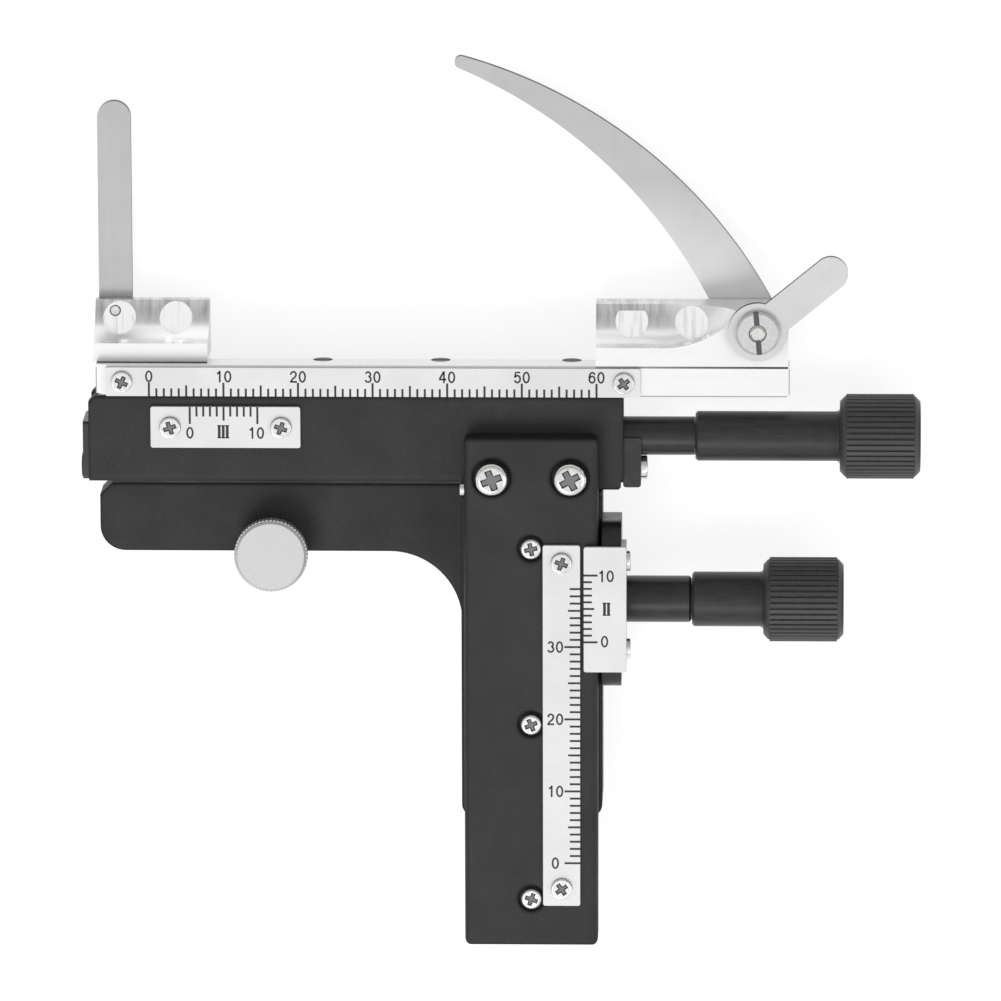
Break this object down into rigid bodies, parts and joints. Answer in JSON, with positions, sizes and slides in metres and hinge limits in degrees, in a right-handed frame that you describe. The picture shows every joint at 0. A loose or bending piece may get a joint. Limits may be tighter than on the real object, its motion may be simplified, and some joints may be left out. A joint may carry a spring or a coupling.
{
  "type": "mechanical microscope stage",
  "caption": "Attachable X-Y stage for a microscope: a clamped bracket, a rack-driven slider, a spindle-driven slide bar, and a sprung finger that holds the glass slide.",
  "frame": {"origin": "on the clamp screw's axis, at the face that rests on the microscope's stage", "axes": "+X along the beam towards the knobs, +Y from the slider's free end towards the slide fingers, +Z away from the microscope's stage"},
  "size_m": [0.1129, 0.1195, 0.0191],
  "materials": {
    "black_paint": "fine satin black paint",
    "gloss_black": "gloss black",
    "black_knob": "black, fine knurl",
    "scale_plate": "satin, printed in black",
    "block_aluminium": "bright, lightly brushed",
    "finger_steel": "finely brushed",
    "nickel": "bright nickel",
    "dark_screw": "blackened",
    "steel": "turned",
    "brass": "plain"
  },
  "bodies": {
    "base": {"base_bracket": "black_paint", "locating_pins": "steel", "bearing_plate": "gloss_black", "bearing_plate_screws": "dark_screw", "y_bush": "gloss_black", "vernier_bracket": "scale_plate", "vernier_bracket_screws": "nickel"},
    "y_drive": {"pinion_shaft": "steel", "y_knob": "black_knob"},
    "clamp_washer": {"thumb_washer": "nickel"},
    "clamp_screw": {"thumb_screw": "nickel"},
    "carriage": {"y_slider": "black_paint", "y_rack": "brass", "rack_screws": "nickel", "side_screw": "nickel", "y_scale_plate": "scale_plate", "y_scale_screws": "nickel", "beam": "black_paint", "beam_screws": "nickel", "beam_end_plate": "gloss_black", "end_plate_screw": "dark_screw", "keeper_plate": "gloss_black", "keeper_screw": "nickel", "x_bush": "gloss_black", "x_vernier_plate": "scale_plate", "x_vernier_screws": "nickel"},
    "x_drive": {"x_spindle": "steel", "x_knob": "black_knob"},
    "slide_holder": {"slide_bar": "block_aluminium", "bar_tongue": "block_aluminium", "tongue_screws": "dark_screw", "spindle_nut": "brass", "nut_screws": "steel", "x_scale_strip": "scale_plate", "x_strip_screws": "nickel", "left_block": "block_aluminium", "right_block": "block_aluminium", "block_screws": "steel", "left_finger": "finger_steel", "finger_screws": "dark_screw", "torsion_spring": "steel"},
    "finger": {"curved_finger": "finger_steel", "pivot_stud": "nickel", "lever": "finger_steel", "slotted_nut": "nickel"}
  },
  "joints": [
    {"name": "y_slide", "type": "slide", "parent": "base", "child": "carriage", "axis": [0, 1, 0], "range_m": [-0.001, 0.03]},
    {"name": "y_knob_turn", "type": "hinge", "parent": "base", "child": "y_drive", "pos_m": [0.0351, -0.0065, 0.008], "axis": [1, 0, 0], "range_deg": [-492, 17]},
    {"name": "x_slide", "type": "slide", "parent": "carriage", "child": "slide_holder", "axis": [1, 0, 0], "range_m": [-0.0545, 0.0054]},
    {"name": "x_knob_turn", "type": "hinge", "parent": "carriage", "child": "x_drive", "pos_m": [0.03, 0.01585, 0.0072], "axis": [1, 0, 0], "range_deg": [-122, 1227]},
    {"name": "finger_swing", "type": "hinge", "parent": "slide_holder", "child": "finger", "pos_m": [0.0654, 0.0312, 0.001], "axis": [0, 0, 1], "range_deg": [-40, 0], "stiffness_Nm_per_rad": 0.02, "springref_deg": 28.65},
    {"name": "clamp_rise", "type": "slide", "parent": "base", "child": "clamp_washer", "axis": [0, 0, 1], "range_m": [-0.003, 0]},
    {"name": "clamp_turn", "type": "hinge", "parent": "clamp_washer", "child": "clamp_screw", "pos_m": [0, 0, 0.01], "axis": [0, 0, 1], "range_deg": [-2161, 0]}
  ],
  "couplings": [
    {"joint": "y_knob_turn", "follows": "y_slide", "rad_per_m": -285.71},
    {"joint": "x_knob_turn", "follows": "x_slide", "rad_per_m": -392.7},
    {"joint": "clamp_turn", "follows": "clamp_rise", "rad_per_m": 12566}
  ]
}
